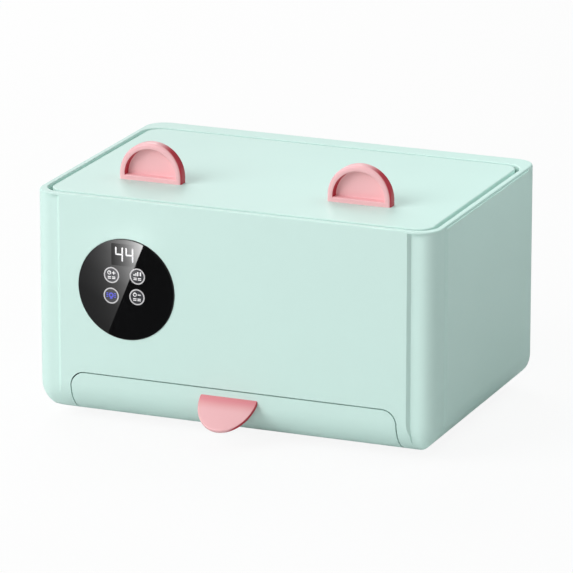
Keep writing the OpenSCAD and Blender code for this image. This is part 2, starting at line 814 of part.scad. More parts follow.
module lid_panel() color(mint) in_place() {
    y = open_y;
    r = lid_corner_r;
    s_in = 2 * lid_skirt_t;
    difference() {
        union() {
            difference() {
                translate([0, y, top_z - lid_skirt]) soft_prism(lid_w, lid_d, r, lid_skirt, edge_r);
                translate([0, y, top_z - lid_skirt - cut]) linear_extrude(lid_skirt - lid_t + cut)
                    rounded_rect(lid_w - s_in, lid_d - s_in, r - lid_skirt_t);
            }
            for (s = [-1, 1]) {
                x1 = lid_w / 2 - lid_skirt_t / 2;
                x_cylinder(lid_pin_d / 2 + 1.6, s > 0 ? x1 - lid_knuckle : -x1,
                    s > 0 ? x1 : -x1 + lid_knuckle, lid_axis[0], lid_axis[1]);
                block([s > 0 ? x1 - lid_knuckle : -x1, lid_axis[0] - 2, lid_axis[1]],
                    [s > 0 ? x1 : -x1 + lid_knuckle, lid_axis[0] + 2, top_z - lid_t / 2]);
            }
            for (p = liner_screws)
                translate([p[0] * liner_w, liner_y + p[1] * liner_d, liner_z + liner_t])
                    cylinder(d = 6, h = lid_skirt - liner_t - lid_t / 2);
        }
        for (p = liner_screws)
            translate([p[0] * liner_w, liner_y + p[1] * liner_d, liner_z])
                cylinder(d = 2, h = lid_skirt - lid_t + 1.2);
        for (s = [-1, 1])
            x_cylinder(lid_pin_d / 2 + run_fit, s > 0 ? lid_w / 2 - lid_knuckle : -lid_w / 2 - cut,
                s > 0 ? lid_w / 2 + cut : -lid_w / 2 + lid_knuckle, lid_axis[0], lid_axis[1]);
        for (x = [ear_left_x, ear_right_x], s = [-1, 1])
            translate([x + s * ear_screw_pitch / 2, ear_y0 + ear_t / 2, top_z - lid_t - cut])
                cylinder(d = 3.2, h = lid_t + 2 * cut);
    }
}

module lid_liner() color(bright) in_place() {
    difference() {
        translate([0, liner_y, liner_z]) linear_extrude(liner_t)
            rounded_rect(liner_w, liner_d, lid_corner_r - lid_skirt_t - drop_fit);
        for (p = liner_screws)
            translate([p[0] * liner_w, liner_y + p[1] * liner_d, liner_z - cut]) {
                cylinder(d = 2.6, h = liner_t + 2 * cut);
                cylinder(d = 5, h = 1.2 + cut);
            }
    }
}

module lid_liner_screws() color("silver") in_place() {
    for (p = liner_screws)
        translate([p[0] * liner_w, liner_y + p[1] * liner_d, liner_z + 1.2]) mirror([0, 0, 1]) {
            translate([0, 0, -4.5]) cylinder(d = 2, h = 4.5);
            difference() {
                cylinder(d = 4.2, h = 1);
                translate([0, 0, 0.45]) cross_slot(2.1);
            }
        }
}

module lid_seal() color("white") in_place() {
    w = tank_out_w + 2 * seal_inset;
    y0 = tank_y0 - 0.4;
    y1 = liner_rear - 0.8;
    translate([0, (y0 + y1) / 2, deck_z + drop_fit]) linear_extrude(liner_z - deck_z - drop_fit) difference() {
        rounded_rect(w, y1 - y0, 8);
        rounded_rect(w - 2 * seal_w, y1 - y0 - 2 * seal_w, 8 - seal_w);
    }
}

module ear_body() {
    // half round above its foot, all outer edges rounded
    intersection() {
        translate([0, 0, ear_base]) rotate([90, 0, 0]) rotate_extrude($fn = 96) {
            square([ear_r - ear_edge, ear_t]);
            translate([0, ear_edge]) square([ear_r, ear_t - 2 * ear_edge]);
            for (y = [ear_edge, ear_t - ear_edge]) translate([ear_r - ear_edge, y]) circle(ear_edge);
        }
        block([-ear_r - cut, -ear_t - cut, ear_base], [ear_r + cut, cut, ear_w]);
    }
    translate([0, -ear_t / 2, 0]) linear_extrude(ear_base) rounded_rect(ear_w, ear_t, ear_edge);
}

// An ear that stands on the lid with its recess to the front.
module ear(x) {
    r = ear_r - ear_border;
    translate([x, ear_y0 + ear_t, top_z]) difference() {
        ear_body();
        intersection() {
            translate([0, -ear_t + ear_recess, ear_base]) rotate([90, 0, 0]) rotate_extrude($fn = 96) {
                square([r, ear_recess + cut]);
                translate([r, ear_recess - 0.8]) edge_waste(0.8);
            }
            block([-ear_r, -ear_t - cut, ear_base + 0.4], [ear_r, 0, ear_w]);
        }
        for (s = [-1, 1])
            translate([s * ear_screw_pitch / 2, -ear_t / 2, -cut]) cylinder(d = 2.2, h = 2.6 + cut);
    }
}

module left_ear() color(pink) in_place() ear(ear_left_x);

module right_ear() color(pink) in_place() ear(ear_right_x);

module ear_screws() color("silver") in_place() {
    for (x = [ear_left_x, ear_right_x], s = [-1, 1])
        translate([x + s * ear_screw_pitch / 2, ear_y0 + ear_t / 2, top_z - lid_t])
            mirror([0, 0, 1]) screw(2.2, lid_t + 2.4);
}

module lid_hinge_pins() color("silver") in_place() {
    x0 = lid_w / 2 - lid_knuckle + 0.4;
    x1 = open_x + 1.2;
    for (s = [-1, 1])
        x_cylinder(lid_pin_d / 2, s > 0 ? x0 : -x1, s > 0 ? x1 : -x0, lid_axis[0], lid_axis[1]);
}

// ---------- flap ----------

module flap_section() {
    b = bottom_r;
    intersection() {
        difference() {
            translate([-hd, z0]) square([flap_under, flap_top - z0 + cut]);
            translate([-hd + b, z0 + b]) rotate(180) difference() {
                square(b + cut);
                circle(b, $fn = 96);
            }
            translate([-hd + flap_t, z0 + b]) square([flap_under + b, flap_h]);
            translate([-hd + b, z0 + b]) circle(b - flap_t, $fn = 96);
        }
        translate([-hd, z0]) square([flap_under, flap_h + cut]);
    }
}

module flap() color(mint) in_place() {
    difference() {
        union() {
            intersection() {
                rotate([90, 0, 90]) linear_extrude(flap_w, center = true) flap_section();
                flap_outline(0, -hd - cut, -hd + flap_under + cut);
            }
            for (s = [-1, 1]) {
                x1 = flap_side - 0.8;
                x_cylinder(flap_knuckle_r, s > 0 ? x1 - flap_knuckle : -x1,
                    s > 0 ? x1 : -x1 + flap_knuckle, flap_axis[0], flap_axis[1]);
            }
        }
        for (s = [-1, 1])
            x_cylinder(flap_pin_d / 2 + run_fit, s > 0 ? flap_side - flap_knuckle : -flap_side - cut,
                s > 0 ? flap_side + cut : -flap_side + flap_knuckle, flap_axis[0], flap_axis[1]);
        tongue_stem(0.1);
    }
}

// Part of the tongue that passes through the flap, grown by g.
module tongue_stem(g) {
    translate([0, tongue_root[0], tongue_root[1]])
        block([-stem_w / 2 - g, -0.2, -tongue_t / 2 - g],
            [stem_w / 2 + g, flap_t + drop_fit + 0.1, tongue_t / 2 + g]);
}

// Disc with a full-round edge, whose tip is tongue_len in front of the root.
module tongue_plate() {
    e = tongue_t / 2;
    r = tongue_w / 2;
    translate([0, r - tongue_len, 0]) rotate_extrude($fn = 96) {
        translate([0, -e]) square([r - e, tongue_t]);
        translate([r - e, 0]) circle(e);
    }
}

module flap_tongue() color(pink) in_place() {
    translate([0, tongue_root[0], tongue_root[1]]) difference() {
        rotate([tongue_slope, 0, 0]) tongue_plate();
        translate([-tongue_w, 0, -tongue_w]) cube(2 * tongue_w);
    }
    tongue_stem(0);
    // keeper behind the flap's wall
    translate([0, tongue_root[0] + flap_t + drop_fit, tongue_root[1]])
        block([-tongue_w / 2 + 1, 0, -tongue_t / 2 - 1.6], [tongue_w / 2 - 1, 1.4, tongue_t / 2 + 1.6]);
}

module flap_hinge_pins() color("silver") in_place() {
    x0 = flap_side - flap_knuckle + 0.4;
    x1 = flap_side + cheek_gap + pin_reach - 0.2;
    for (s = [-1, 1])
        x_cylinder(flap_pin_d / 2, s > 0 ? x0 : -x1, s > 0 ? x1 : -x0, flap_axis[0], flap_axis[1]);
}

// ---------- assembly ----------

housing();
top_frame();
base_plate();
base_screws();
rubber_feet();
inner_tank();
tank_screws();
dispensing_lip();
wipe_chute();
heater_plate();
heating_film();
thermal_cutout();
temperature_sensor();
floor_insulation();
wall_insulation();
power_board();
power_jack();
touch_glass();
panel_holder();
control_board();
display_module();
touch_springs();
board_screws();
lid_panel();
lid_liner();
lid_liner_screws();
lid_seal();
left_ear();
right_ear();
ear_screws();
lid_hinge_pins();
flap();
flap_tongue();
flap_hinge_pins();
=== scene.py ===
"""Studio scene for the baby wipe warmer: camera, soft lights, moulded-plastic finishes, the pull
tongue and the ear grips with softer edges, and the touch panel's lit display, keys and printed
rings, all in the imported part's own frame. Lengths are metres unless a comment says otherwise."""
import json
import math

import bpy
from mathutils import Matrix, Vector


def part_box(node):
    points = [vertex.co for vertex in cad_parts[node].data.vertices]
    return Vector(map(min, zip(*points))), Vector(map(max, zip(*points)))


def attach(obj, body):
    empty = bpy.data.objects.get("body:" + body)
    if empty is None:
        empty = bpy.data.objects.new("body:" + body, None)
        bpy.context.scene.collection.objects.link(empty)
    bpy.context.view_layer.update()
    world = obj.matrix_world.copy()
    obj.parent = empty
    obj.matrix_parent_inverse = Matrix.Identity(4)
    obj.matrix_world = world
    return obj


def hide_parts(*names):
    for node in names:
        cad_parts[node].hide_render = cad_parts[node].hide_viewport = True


MM = 0.001
TOUCH = 0.01 * MM
SMOOTH_ANGLE = math.radians(35)
WHITE = (1, 1, 1, 1)

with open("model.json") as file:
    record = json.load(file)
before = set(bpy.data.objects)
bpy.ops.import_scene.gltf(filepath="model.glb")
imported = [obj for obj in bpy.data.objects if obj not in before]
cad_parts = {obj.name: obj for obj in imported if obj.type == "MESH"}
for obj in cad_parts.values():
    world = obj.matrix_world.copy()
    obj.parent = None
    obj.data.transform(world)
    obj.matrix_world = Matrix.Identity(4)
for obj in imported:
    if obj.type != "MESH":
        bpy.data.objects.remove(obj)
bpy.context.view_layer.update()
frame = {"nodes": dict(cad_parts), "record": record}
bpy.ops.object.select_all(action="DESELECT")
scene = bpy.context.scene


def srgb(r, g, b):
    """An 8-bit screen colour as the linear RGBA that shaders take."""
    def linear(c):
        c /= 255.0
        return c / 12.92 if c <= 0.04045 else ((c + 0.055) / 1.055) ** 2.4
    return (linear(r), linear(g), linear(b), 1.0)


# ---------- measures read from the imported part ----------

glass_lo, glass_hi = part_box("touch_glass")
housing_lo, housing_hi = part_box("housing")
flap_lo, flap_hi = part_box("flap")
GLASS_X = (glass_lo[0] + glass_hi[0]) / 2
GLASS_Z = (glass_lo[2] + glass_hi[2]) / 2
GLASS_FRONT = glass_lo[1]
GLASS_R = (glass_hi[0] - glass_lo[0]) / 2
HOUSING_Y = (housing_lo[1] + housing_hi[1]) / 2
FOOT_H = housing_lo[2]

# ---------- camera ----------

VIEW_AZ = math.radians(22.31)
VIEW_EL = math.radians(16.40)
VIEW_DIST = 2.896
# focal length and width of the photograph, both in its pixels
LENS_PX = 5135.0
PICTURE_PX = 573.0
SENSOR_MM = 36.0
VIEW_END = 20.0
AIM_RIGHT = -0.99 * MM
AIM_UP = -0.70 * MM
MID_HEIGHT = 64.25 * MM


def place_camera():
    """Puts the camera in its place and returns the direction from the aim back to it."""
    back = Vector((math.sin(VIEW_AZ) * math.cos(VIEW_EL), -math.cos(VIEW_AZ) * math.cos(VIEW_EL),
                   math.sin(VIEW_EL)))
    right = Vector((math.cos(VIEW_AZ), math.sin(VIEW_AZ), 0.0))
    up = back.cross(right)
    middle = Vector((0.0, HOUSING_Y, FOOT_H + MID_HEIGHT))
    aim = middle + right * AIM_RIGHT + up * AIM_UP
    data = bpy.data.cameras.new("studio_camera")
    data.sensor_width = SENSOR_MM
    data.sensor_fit = "HORIZONTAL"
    data.lens = LENS_PX / PICTURE_PX * SENSOR_MM
    data.clip_end = VIEW_END
    camera = bpy.data.objects.new("studio_camera", data)
    turn = Matrix((right, up, back)).transposed()
    camera.matrix_world = Matrix.Translation(aim + back * VIEW_DIST) @ turn.to_4x4()
    scene.collection.objects.link(camera)
    scene.camera = camera
    return back


view_back = place_camera()

# ---------- shading nodes ----------


class Shading:
    """The nodes of one material or world, with the few sums that this scene needs. keep leaves
    the nodes that a new material comes with."""

    def __init__(self, owner, keep=False):
        owner.use_nodes = True
        self.nodes = owner.node_tree.nodes
        self.links = owner.node_tree.links
        if not keep:
            self.nodes.clear()

    def feed(self, socket, value):
        """Links a node's output to the socket, and writes any other value on it."""
        if isinstance(value, bpy.types.NodeSocket):
            self.links.new(value, socket)
        else:
            socket.default_value = value

    def scalar(self, operation, *values):
        """A sum with numbers, each one written here or another node's output."""
        node = self.nodes.new("ShaderNodeMath")
        node.operation = operation
        for socket, value in zip(node.inputs, values):
            self.feed(socket, value)
        return node.outputs[0]

    def vector(self, operation, first, second):
        """The same with two vectors. A dot product gives a number, the others a vector."""
        node = self.nodes.new("ShaderNodeVectorMath")
        node.operation = operation
        self.feed(node.inputs[0], first)
        self.feed(node.inputs[1], second)
        return node.outputs["Value" if operation == "DOT_PRODUCT" else "Vector"]

    def along(self, place, start, way):
        """How far a point lies from start in way's direction: in metres where way is a unit
        vector, and as a share of a length where the unit vector was divided by that length."""
        return self.vector("DOT_PRODUCT", self.vector("SUBTRACT", place, start), way)

    def span(self, value, from_ends, to_ends, kind="LINEAR"):
        """The value as it lies between from_ends, carried over to lie between to_ends."""
        node = self.nodes.new("ShaderNodeMapRange")
        node.interpolation_type = kind
        sockets = ("From Min", "From Max", "To Min", "To Max")
        for socket, end in zip(sockets, (*from_ends, *to_ends)):
            node.inputs[socket].default_value = end
        self.links.new(value, node.inputs["Value"])
        return node.outputs["Result"]

    def eye_ray(self):
        """1 for what the camera sees, also through something clear, and 0 for other light."""
        path = self.nodes.new("ShaderNodeLightPath")
        return self.scalar("MAXIMUM", path.outputs["Is Camera Ray"],
                           path.outputs["Is Transmission Ray"])

    def shader(self, kind, colour, strength=None):
        """A plain shader of one colour, with a strength where it has one."""
        node = self.nodes.new(kind)
        node.inputs["Color"].default_value = colour
        if strength is not None:
            self.feed(node.inputs["Strength"], strength)
        return node.outputs[0]

    def mix(self, amount, first, second):
        """A shader between two others, all first at amount 0 and all second at 1."""
        node = self.nodes.new("ShaderNodeMixShader")
        self.feed(node.inputs["Fac"], amount)
        self.links.new(first, node.inputs[1])
        self.links.new(second, node.inputs[2])
        return node.outputs[0]

    def output(self, kind, surface):
        """Makes the shader the surface of the material or world."""
        self.links.new(surface, self.nodes.new(kind).inputs["Surface"])


# ---------- lights and floor ----------

# strength of the world's fill light
AMBIENT = 0.2
LAMPS_AIM = Vector((0.0, 0.0, 0.07))
FLOOR_Z = -0.2 * MM
FLOOR_SIZE = 30
FLOOR_BOUNCE = (0.78, 0.79, 0.79, 1)
FLOOR_SHADE = (0.9, 0.9, 0.9, 1)
# share of the floor that is plain white to the eye, where the rest shows the shadow
FLOOR_GLOW = 0.9
# azimuth and elevation in degrees, distance and size in metres, level, and a tint
SOFTBOXES = {
    "key_softbox": (-42, 32, 3.0, (2.2, 2.2), 0.76),
    "front_softbox": (8, 18, 3.0, (1.4, 1.4), 0.12),
    "rear_left_softbox": (-140, 40, 2.0, (1.3, 1.3), 0.43),
    "side_softbox": (100, 52, 0.42, (0.3, 0.3), 0.29, (0.86, 1.0, 0.98)),
}


def softbox(name, azimuth, elevation, distance, size, level, tint=(1.0, 1.0, 1.0)):
    """Area light. level is the light it throws on a face turned to it, where 1 shows a
    matte colour as it is written. azimuth runs from the front, positive to the right."""
    a, e = math.radians(azimuth), math.radians(elevation)
    way = Vector((math.sin(a) * math.cos(e), -math.cos(a) * math.cos(e), math.sin(e)))
    data = bpy.data.lights.new(name, "AREA")
    data.shape = "RECTANGLE"
    data.size, data.size_y = size
    data.energy = level * math.pi ** 2 * distance ** 2
    data.color = tint
    lamp = bpy.data.objects.new(name, data)
    lamp.location = LAMPS_AIM + way * distance
    lamp.rotation_euler = way.to_track_quat("Z", "Y").to_euler()
    lamp.visible_camera = False
    scene.collection.objects.link(lamp)


def light_studio():
    """The softboxes, and a world that fills in softly and is plain white to the eye."""
    for name, lamp in SOFTBOXES.items():
        softbox(name, *lamp)
    world = bpy.data.worlds.new("studio_world")
    scene.world = world
    sky = Shading(world)
    fill = sky.shader("ShaderNodeBackground", WHITE, AMBIENT)
    plain = sky.shader("ShaderNodeBackground", WHITE, 1.0)
    sky.output("ShaderNodeOutputWorld", sky.mix(sky.eye_ray(), fill, plain))


def lay_floor():
    """Floor: pale grey to the light it bounces, white to the eye with a trace of the shadow."""
    mat = bpy.data.materials.new("studio_floor")
    ground = Shading(mat)
    bounce = ground.shader("ShaderNodeBsdfDiffuse", FLOOR_BOUNCE)
    shade = ground.shader("ShaderNodeBsdfDiffuse", FLOOR_SHADE)
    glow = ground.shader("ShaderNodeEmission", WHITE, 1.0)
    seen = ground.mix(FLOOR_GLOW, shade, glow)
    ground.output("ShaderNodeOutputMaterial", ground.mix(ground.eye_ray(), bounce, seen))
    bpy.ops.mesh.primitive_plane_add(size=FLOOR_SIZE, location=(0, 0, FLOOR_Z))
    floor = bpy.context.object
    floor.name = "studio_floor"
    floor.data.materials.append(mat)
    bpy.ops.object.select_all(action="DESELECT")


light_studio()
lay_floor()

# ---------- glare card ----------

# The glass mirrors a small card in front of it, bright to the left of a straight slanting edge
# and black to the right of it. The edge's ends are millimetres from the glass's middle.
CARD_GAP = 20 * MM
CARD_MARGIN = 6 * MM
EDGE_TOP = (10.1, 27.1)
EDGE_FOOT = (-10.9, -23.9)
# share of the light at parts of the edge's length, from foot to top
GLARE_STOPS = ((0.0, 0.008), (0.25, 0.03), (0.5, 0.15), (0.75, 0.42), (1.0, 1.0))
GLARE_LEVEL = 18.0
GLARE_BASE = 0.3
# the light falls off to the left of the edge as exp(-GLARE_FADE * distance / GLARE_UNIT)
GLARE_FADE = 0.85
GLARE_UNIT = 10 * MM


def glare_card():
    """Places the card where the eye's mirrored rays meet it and shades its bright side."""
    lean_x = EDGE_TOP[0] - EDGE_FOOT[0]
    lean_z = EDGE_TOP[1] - EDGE_FOOT[1]
    length = math.hypot(lean_x, lean_z)
    # where the glass sends the eye's ray once it has crossed the gap to the card
    drift_x = -CARD_GAP * view_back.x / -view_back.y
    drift_z = -CARD_GAP * view_back.z / -view_back.y
    grow = 1 + CARD_GAP / (VIEW_DIST * -view_back.y)
    middle = Vector((GLASS_X + drift_x, GLASS_FRONT - CARD_GAP, GLASS_Z + drift_z))
    foot = (middle.x + EDGE_FOOT[0] * MM * grow, middle.y, middle.z + EDGE_FOOT[1] * MM * grow)
    up_edge = Vector((lean_x / length, 0, lean_z / length))
    left = Vector((-up_edge.z, 0, up_edge.x))

    mat = bpy.data.materials.new("glare_card")
    glare = Shading(mat)
    place = glare.nodes.new("ShaderNodeTexCoord").outputs["Object"]
    height = glare.along(place, foot, up_edge / (length * MM * grow))
    beside = glare.along(place, foot, left / (GLARE_UNIT * grow))
    rise = glare.nodes.new("ShaderNodeValToRGB")
    glare.links.new(height, rise.inputs["Fac"])
    stops = rise.color_ramp.elements
    while len(stops) < len(GLARE_STOPS):
        stops.new(0.5)
    for stop, (at, level) in zip(stops, GLARE_STOPS):
        stop.position = at
        stop.color = (level, level, level, 1)
    falloff = glare.scalar("EXPONENT", glare.scalar("MULTIPLY", beside, -GLARE_FADE))
    bright = glare.scalar("MULTIPLY", rise.outputs["Color"], falloff)
    level = glare.scalar("MULTIPLY_ADD", bright, GLARE_LEVEL, GLARE_BASE)
    strength = glare.scalar("MULTIPLY", level, glare.scalar("GREATER_THAN", beside, 0.0))
    glare.output("ShaderNodeOutputMaterial", glare.shader("ShaderNodeEmission", WHITE, strength))

    size = 2 * GLASS_R * grow + CARD_MARGIN
    bpy.ops.mesh.primitive_plane_add(size=size, location=middle, rotation=(math.pi / 2, 0, 0))
    card = bpy.context.object
    card.name = "glare_card"
    bpy.ops.object.transform_apply(location=True, rotation=True, scale=True)
    card.data.materials.append(mat)
    card.visible_camera = False
    card.visible_diffuse = False
    card.visible_transmission = False
    card.visible_shadow = False
    bpy.ops.object.select_all(action="DESELECT")


glare_card()

# ---------- finishes ----------

# the part of a noise's range that tint and gloss drift over
DRIFT_ENDS = (0.3, 0.7)
# share of a face's turn to the front or the back that counts against the painted side shading
FRONT_LEAN = 0.5


class Finish(Shading):
    """A Principled material with the moulded detail that this object's plastics share, and painted
    shade and highlights laid into the colour where a piece asks for them.
    """

    def __init__(self, name, colour, roughness, **sockets):
        self.mat = bpy.data.materials.new(name)
        super().__init__(self.mat, keep=True)
        self.body = self.nodes["Principled BSDF"]
        self.body.inputs["Base Color"].default_value = colour
        self.body.inputs["Roughness"].default_value = roughness
        for socket, value in sockets.items():
            self.body.inputs[socket.replace("_", " ")].default_value = value
        self.place = self.nodes.new("ShaderNodeTexCoord")
        self.colour = colour
        self.roughness = roughness

    def noise(self, scale, detail=2.0, stretch=(1, 1, 1)):
        """Noise over the piece's own axes. scale is in waves per metre, stretch is per axis."""
        tex = self.nodes.new("ShaderNodeTexNoise")
        tex.inputs["Scale"].default_value = scale
        tex.inputs["Detail"].default_value = detail
        source = self.place.outputs["Object"]
        if stretch != (1, 1, 1):
            turn = self.nodes.new("ShaderNodeMapping")
            turn.inputs["Scale"].default_value = stretch
            self.links.new(source, turn.inputs["Vector"])
            source = turn.outputs["Vector"]
        self.links.new(source, tex.inputs["Vector"])
        return tex.outputs["Fac"]

    def tint(self, scale, spread):
        """Slow drift of the colour, as moulded plastic has."""
        ramp = self.nodes.new("ShaderNodeValToRGB")
        for stop, at, factor in zip(ramp.color_ramp.elements, DRIFT_ENDS, (1 - spread, 1 + spread)):
            stop.position = at
            stop.color = tuple(min(1, c * factor) for c in self.colour[:3]) + (1,)
        self.links.new(self.noise(scale), ramp.inputs["Fac"])
        self.links.new(ramp.outputs["Color"], self.body.inputs["Base Color"])
        return self

    def blend_in(self, colour, amount):
        """Lays a colour over the finish's own, by the mix node's colour sockets 6, 7 and 2."""
        mix = self.nodes.new("ShaderNodeMix")
        mix.data_type = "RGBA"
        under = self.body.inputs["Base Color"].links[0].from_socket
        self.links.new(amount, mix.inputs["Factor"])
        self.links.new(under, mix.inputs[6])
        mix.inputs[7].default_value = colour
        self.links.new(mix.outputs[2], self.body.inputs["Base Color"])
        return self

    def paint_side_shading(self, colour, way, start, full):
        """Painted shading on the faces that look along way (x and z), on the piece's own axes:
        painted shade where the colour is deeper, a painted highlight where it is paler. Faces that
        look to the front or the back are left out."""
        turns = [self.vector("DOT_PRODUCT", self.place.outputs["Normal"], (way[0], lean, way[1]))
                 for lean in (FRONT_LEAN, -FRONT_LEAN)]
        least = self.scalar("MINIMUM", *turns)
        return self.blend_in(colour, self.span(least, (start, full), (0.0, 1.0), "SMOOTHSTEP"))

    def paint_fading_shade(self, colour, start, way, length):
        """Painted shade that runs out over a length from start along way, on the piece's own axes.
        """
        far = self.along(self.place.outputs["Object"], start, way)
        return self.blend_in(colour, self.span(far, (0.0, length), (1.0, 0.0), "SMOOTHSTEP"))

    def clear_towards(self, start, way, length, low, high):
        """Reflection that grows over a length from start along way."""
        far = self.along(self.place.outputs["Object"], start, way)
        grown = self.span(far, (0.0, length), (low, high))
        self.links.new(grown, self.body.inputs["Specular IOR Level"])
        return self

    def sheen_drift(self, scale, spread, stretch=(1, 1, 1)):
        """Slow drift of the gloss."""
        ends = (self.roughness - spread, self.roughness + spread)
        drift = self.span(self.noise(scale, 3.0, stretch), DRIFT_ENDS, ends)
        self.links.new(drift, self.body.inputs["Roughness"])
        return self

    def grain(self, scale, height):
        """Fine texture of the mould's surface."""
        bump = self.nodes.new("ShaderNodeBump")
        bump.inputs["Distance"].default_value = height
        bump.inputs["Strength"].default_value = 1.0
        self.links.new(self.noise(scale, 1.5), bump.inputs["Height"])
        self.links.new(bump.outputs["Normal"], self.body.inputs["Normal"])
        return self


MINT = srgb(209, 236, 229)
PINK = srgb(246, 188, 192)
# painted shade: the pink is deeper on faces that look to the right; painted highlight: it is paler
# on those that look to the left
SHADE_PINK = srgb(196, 44, 62)
SHADE_WAY = (0.95, -0.15)
# painted highlight on the faces of the grips that look to the left
HIGHLIGHT_PINK = srgb(252, 214, 216)
HIGHLIGHT_WAY = (-0.95, 0.1)
# painted shade near the tongue's root, where it meets the flap
ROOT_SHADE_PINK = srgb(230, 140, 148)
DISPLAY_WHITE = srgb(226, 224, 226)
RING_GREY = srgb(196, 194, 196)
KEY_GREY = srgb(66, 66, 70)
KEY_BLUE = srgb(72, 74, 176)
KEY_BLUE_GLOW = srgb(84, 88, 205)
WINDOW_BLACK = srgb(24, 23, 24)

finishes = {
    "mint_plastic": Finish("mint_abs", MINT, 0.42, IOR=1.46, Specular_IOR_Level=0.3)
    .tint(9, 0.008).sheen_drift(30, 0.03).grain(2600, 0.01 * MM),
    # the grips' pink carries painted shade on faces that look to the right and a painted highlight
    # on faces that look to the left
    "pink_plastic": Finish("pink_abs", PINK, 0.36, IOR=1.48)
    .tint(20, 0.012).paint_side_shading(SHADE_PINK, SHADE_WAY, 0.0, 0.5)
    .paint_side_shading(HIGHLIGHT_PINK, HIGHLIGHT_WAY, 0.3, 0.9).sheen_drift(60, 0.03).grain(2600, 0.01 * MM),
    "white_plastic": Finish("white_polypropylene", srgb(236, 238, 235), 0.45, IOR=1.46)
    .tint(12, 0.01).sheen_drift(30, 0.04).grain(1800, 0.015 * MM),
    "silicone": Finish("milky_silicone", srgb(232, 234, 231), 0.55, IOR=1.41)
    .tint(30, 0.01).grain(2200, 0.01 * MM),
    "foot_rubber": Finish("grey_rubber", srgb(92, 96, 100), 0.75, IOR=1.5)
    .tint(60, 0.05).grain(1500, 0.04 * MM),
    "screw_steel": Finish("zinc_plated_steel", srgb(196, 196, 198), 0.3, Metallic=1.0)
    .tint(300, 0.05).sheen_drift(900, 0.08),
    "pin_steel": Finish("ground_steel", srgb(200, 201, 203), 0.22, Metallic=1.0)
    .sheen_drift(400, 0.06, (0.1, 6, 6)),
    "heater_aluminium": Finish("rolled_aluminium", srgb(214, 216, 218), 0.34, Metallic=1.0)
    .tint(40, 0.02).sheen_drift(120, 0.07, (0.2, 4, 4)),
    "film": Finish("amber_film", srgb(186, 108, 38), 0.22, Coat_Weight=0.5)
    .tint(60, 0.06).sheen_drift(80, 0.05),
    "cutout_ceramic": Finish("moulded_cutout", srgb(226, 220, 198), 0.3)
    .tint(90, 0.02).grain(1500, 0.02 * MM),
    "foam": Finish("closed_cell_foam", srgb(232, 227, 206), 0.9)
    .tint(70, 0.04).grain(900, 0.2 * MM),
    "black_plastic": Finish("black_nylon", srgb(26, 26, 28), 0.4)
    .tint(60, 0.1).grain(1800, 0.02 * MM),
    "circuit_board": Finish("solder_mask", srgb(22, 92, 52), 0.28, Coat_Weight=0.3)
    .tint(110, 0.12).sheen_drift(300, 0.05),
    "panel_glass": Finish("black_glass", srgb(17, 17, 18), 0.03, IOR=1.52)
    .tint(40, 0.05),
    "display": Finish("potted_display", srgb(40, 40, 43), 0.3).tint(80, 0.05),
    "spring_brass": Finish("plated_brass", srgb(206, 176, 112), 0.26, Metallic=1.0)
    .tint(300, 0.05),
}

slots = {part["node"]: part["material_slot"] for part in frame["record"]["subparts"]}
for node_name, node in frame["nodes"].items():
    if not node.data.materials:
        node.data.materials.append(None)
    for index in range(len(node.material_slots)):
        node.material_slots[index].material = finishes[slots[node_name]].mat

# ---------- modelling helpers ----------


def apply_place(piece):
    """Brings the piece's own axes back to the origin and leaves nothing selected."""
    bpy.ops.object.transform_apply(location=True, rotation=True, scale=True)
    bpy.ops.object.select_all(action="DESELECT")
    return piece


def pick(piece, test, kind="EDGE"):
    """Selects the edges or faces that pass the test and goes to edit mode."""
    bpy.ops.object.mode_set(mode="EDIT")
    bpy.ops.mesh.select_mode(type=kind)
    bpy.ops.mesh.select_all(action="DESELECT")
    bpy.ops.object.mode_set(mode="OBJECT")
    mesh = piece.data
    for element in (mesh.edges if kind == "EDGE" else mesh.polygons):
        element.select = test(element, [mesh.vertices[i].co for i in element.vertices])
    bpy.ops.object.mode_set(mode="EDIT")


def merge(name, pieces, finish):
    """One object of several, in one finish."""
    for piece in pieces:
        piece.select_set(True)
    bpy.context.view_layer.objects.active = pieces[0]
    if len(pieces) > 1:
        bpy.ops.object.join()
    whole = bpy.context.object
    whole.name = name
    whole.data.materials.append(finish.mat)
    return whole


# ---------- pull tongue ----------

BLADE_SIDES = 160
BLADE_EDGE_STEPS = 4
BAR_EDGE_STEPS = 3
TONGUE_HALF_W = 17.1 * MM
TONGUE_LEN = 21.9 * MM
TONGUE_T = 2.4 * MM
TONGUE_SLOPE = math.radians(37)
TONGUE_X = -1.4 * MM
TONGUE_EDGE = 0.8 * MM
TONGUE_BELOW_SEAM = 5.2 * MM
TONGUE_ROOT = Vector((TONGUE_X, flap_lo[1], flap_hi[2] - TONGUE_BELOW_SEAM))
TONGUE_WAY = (0.0, -math.cos(TONGUE_SLOPE), -math.sin(TONGUE_SLOPE))
# the blade is cut off this far inside the flap's face
BLADE_INTO_FLAP = 0.2 * MM
ROOT_SHADE_LEN = 9 * MM
FLAP_WALL = 2.4 * MM
STEM_HALF_W = 14.0 * MM
STEM_EDGE = 0.2 * MM
STEM_INTO_KEEPER = 0.1 * MM
KEEPER_GAP = 0.3 * MM
KEEPER_HALF_W = 16.0 * MM
KEEPER_HALF_H = 3 * MM
KEEPER_T = 1.4 * MM
KEEPER_EDGE = 0.4 * MM

# the tongue's pink carries painted shade near its root and on faces that look to the right
tongue_finish = (
    Finish("tongue_abs", PINK, 0.36, IOR=1.48).tint(20, 0.012)
    .paint_fading_shade(ROOT_SHADE_PINK, TONGUE_ROOT, TONGUE_WAY, ROOT_SHADE_LEN)
    .paint_side_shading(SHADE_PINK, SHADE_WAY, 0.0, 0.4).sheen_drift(60, 0.03).grain(2600, 0.01 * MM))


